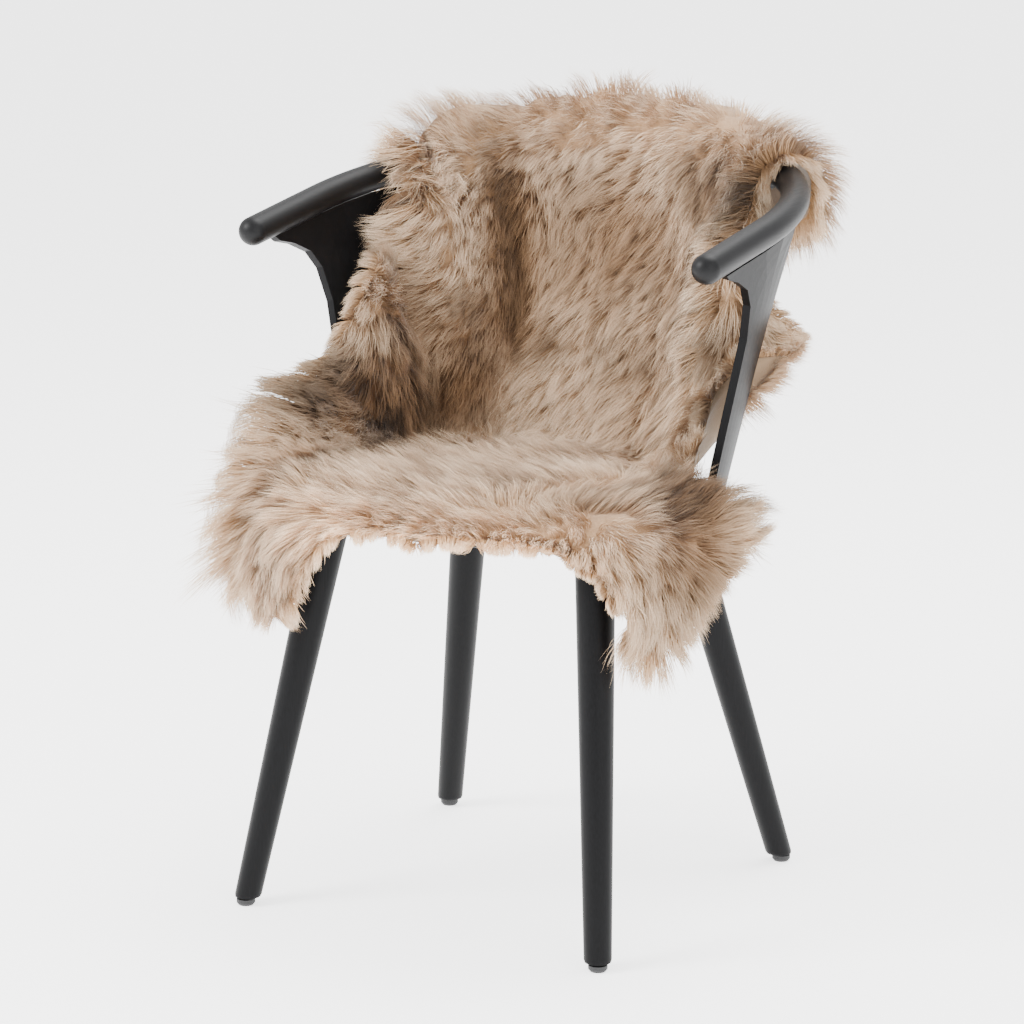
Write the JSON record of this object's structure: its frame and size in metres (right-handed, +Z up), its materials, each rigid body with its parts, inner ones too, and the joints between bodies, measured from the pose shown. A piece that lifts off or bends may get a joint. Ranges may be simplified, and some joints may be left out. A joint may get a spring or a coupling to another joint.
{
  "type": "sheepskin rug draped in a wooden armchair",
  "caption": "Long-wool sheepskin rug lying over the seat and back of a plain round-seated wooden armchair, with flaps over the front corners and a roll over the rail.",
  "frame": {"origin": "on the floor, under the middle of the whole object's box", "axes": "+Z up, -Y towards the sitter's front, +X to the right as seen from the front"},
  "size_m": [0.5931, 0.6404, 0.8476],
  "materials": {
    "wool": "long soft wool on a tanned hide",
    "stained_wood": "black stain, satin lacquer",
    "nylon": "moulded, matte"
  },
  "bodies": {
    "root": {"sheepskin": "wool", "locks_right_side": "wool", "locks_right_wing": "wool", "locks_right_shoulder": "wool", "locks_neck_right": "wool", "locks_neck_left": "wool", "locks_left_shoulder": "wool", "locks_left_wing": "wool", "locks_left_side": "wool", "locks_left_flap": "wool", "locks_front": "wool", "locks_right_flap": "wool", "seat": "stained_wood", "rail": "stained_wood", "panel_left": "stained_wood", "panel_right": "stained_wood", "panel_back": "stained_wood", "leg_front_left": "stained_wood", "leg_front_right": "stained_wood", "leg_back_left": "stained_wood", "leg_back_right": "stained_wood", "glide_front_left": "nylon", "glide_front_right": "nylon", "glide_back_left": "nylon", "glide_back_right": "nylon"}
  },
  "joints": []
}
